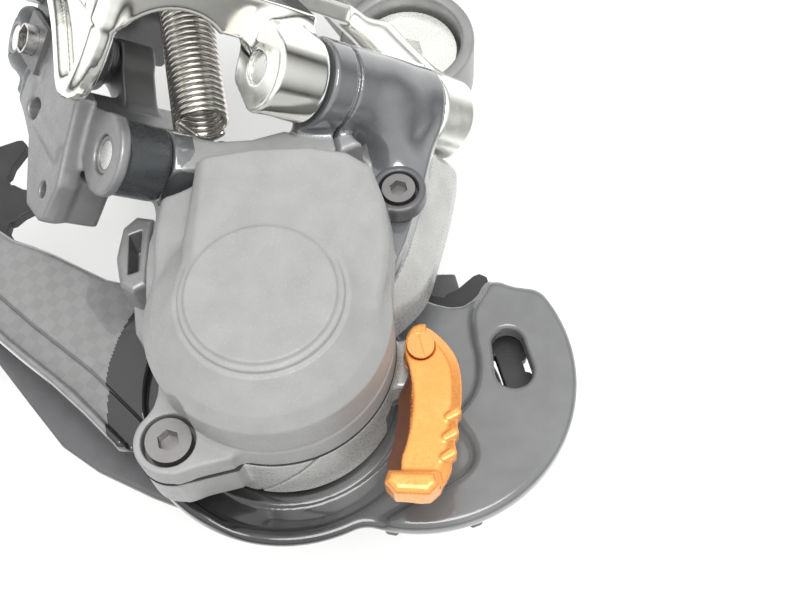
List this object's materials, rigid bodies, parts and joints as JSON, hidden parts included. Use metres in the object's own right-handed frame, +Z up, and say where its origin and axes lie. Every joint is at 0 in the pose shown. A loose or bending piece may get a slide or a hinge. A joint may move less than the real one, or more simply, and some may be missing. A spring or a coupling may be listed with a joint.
{
  "type": "rear_derailleur",
  "caption": "Rear bicycle derailleur with a clutch in its lower knuckle, a sprung parallelogram, a gold clutch lever and a two-pulley chain cage",
  "frame": {"origin": "hanger bolt axis at the face that seats on the frame's hanger", "axes": "+X towards the front of the bicycle, +Y inboard towards the wheel, +Z up"},
  "size_m": [0.136, 0.073, 0.1351],
  "materials": {
    "zinc_steel": "zinc plated",
    "bare_steel": "ground",
    "black_alloy": "satin anodised",
    "gloss_black": "gloss paint",
    "bush_plastic": "moulded",
    "spring_steel": "drawn wire",
    "polished_alloy": "polished",
    "grey_alloy": "satin grey",
    "black_steel": "blackened",
    "black_plastic": "moulded",
    "matte_black": "fine textured paint",
    "seal_rubber": "moulded",
    "gold_alloy": "gold anodised",
    "gold_screw": "gold plated",
    "gloss_cage": "gloss clear coat over black",
    "pulley_plastic": "moulded"
  },
  "bodies": {
    "hanger_mount": {"hanger_bolt": "zinc_steel", "bracket_link": "black_alloy", "b_axle": "bare_steel"},
    "upper_knuckle": {"b_knuckle": "gloss_black", "b_axle_bush": "bush_plastic", "b_axle_spring": "spring_steel", "b_tension_screw": "zinc_steel", "limit_screws": "zinc_steel", "knuckle_link_pins": "bare_steel"},
    "outer_arm": {"outer_link": "polished_alloy", "outer_link_bushes": "bush_plastic"},
    "inner_arm": {"inner_link": "grey_alloy", "inner_link_bushes": "bush_plastic", "cable_bolt": "zinc_steel", "cable_washer": "black_steel", "cable_guide": "black_plastic"},
    "return_spring": {"link_spring": "spring_steel"},
    "spring_end": {"spring_eye": "spring_steel"},
    "lower_knuckle": {"p_knuckle": "gloss_black", "cage_link_pins": "bare_steel", "clutch_cover": "matte_black", "cover_gasket": "seal_rubber", "cover_bolts": "zinc_steel", "drain_plug": "black_plastic", "friction_band": "bare_steel", "roller_clutch": "bare_steel", "cage_bush": "bush_plastic", "cage_spring": "spring_steel", "lever_screw": "gold_screw"},
    "lever": {"clutch_lever": "gold_alloy"},
    "cage": {"cage_axle": "bare_steel", "axle_seal": "seal_rubber", "outer_cage_plate": "gloss_cage", "inner_cage_plate": "black_alloy", "cage_stop_pin": "bare_steel", "pulley_bolts": "zinc_steel", "guide_bush": "bare_steel", "tension_bush": "bare_steel", "guide_caps": "black_steel", "tension_caps": "black_steel"},
    "upper_pulley": {"guide_pulley": "pulley_plastic"},
    "lower_pulley": {"tension_pulley": "pulley_plastic"}
  },
  "joints": [
    {"name": "bracket_swing", "type": "hinge", "parent": "hanger_mount", "child": "upper_knuckle", "pos_m": [-0.031, -0.02, -0.009], "axis": [0, 1, 0], "range_deg": [0, 25], "stiffness_Nm_per_rad": 0.9, "springref_deg": -20.05},
    {"name": "shift", "type": "hinge", "parent": "upper_knuckle", "child": "outer_arm", "pos_m": [-0.01785, -0.02, -0.0353], "axis": [0, 0.632, 0.7749], "range_deg": [0, 66], "stiffness_Nm_per_rad": 0.35, "springref_deg": -34.38, "deforming": ["link_spring", "spring_eye"]},
    {"name": "inner_arm_swing", "type": "hinge", "parent": "upper_knuckle", "child": "inner_arm", "pos_m": [-0.01385, -0.00927, -0.05696], "axis": [0, 0.632, 0.7749], "range_deg": [0, 68]},
    {"name": "spring_swing", "type": "hinge", "parent": "upper_knuckle", "child": "return_spring", "pos_m": [-0.01785, -0.02095, -0.03646], "axis": [0, 0.632, 0.7749], "range_deg": [0, 50]},
    {"name": "spring_stretch", "type": "slide", "parent": "return_spring", "child": "spring_end", "axis": [0.9963, 0.0664, -0.0541], "range_m": [0, 0.0194]},
    {"name": "knuckle_swing", "type": "hinge", "parent": "outer_arm", "child": "lower_knuckle", "pos_m": [0.0199, -0.02416, -0.01127], "axis": [0, 0.632, 0.7749], "range_deg": [-68, 0]},
    {"name": "cage_swing", "type": "hinge", "parent": "lower_knuckle", "child": "cage", "pos_m": [0.054, -0.01, -0.034], "axis": [0, -1, 0], "range_deg": [0, 90], "stiffness_Nm_per_rad": 0.35, "springref_deg": -126.05},
    {"name": "guide_spin", "type": "hinge", "parent": "cage", "child": "upper_pulley", "pos_m": [0.0575, 0.0111, -0.0126], "axis": [0, 1, 0], "continuous": true},
    {"name": "tension_spin", "type": "hinge", "parent": "cage", "child": "lower_pulley", "pos_m": [-0.00057, 0.0111, -0.09646], "axis": [0, 1, 0], "continuous": true},
    {"name": "clutch_switch", "type": "hinge", "parent": "lower_knuckle", "child": "lever", "pos_m": [0.0596, -0.0108, -0.0124], "axis": [0, -1, 0], "range_deg": [0, 50]}
  ],
  "couplings": [
    {"joint": "inner_arm_swing", "follows": "shift", "ratio": 1},
    {"joint": "knuckle_swing", "follows": "shift", "ratio": -1},
    {"joint": "spring_swing", "follows": "shift", "ratio": 0.7364},
    {"joint": "spring_stretch", "follows": "shift", "m_per_rad": 0.016495}
  ]
}
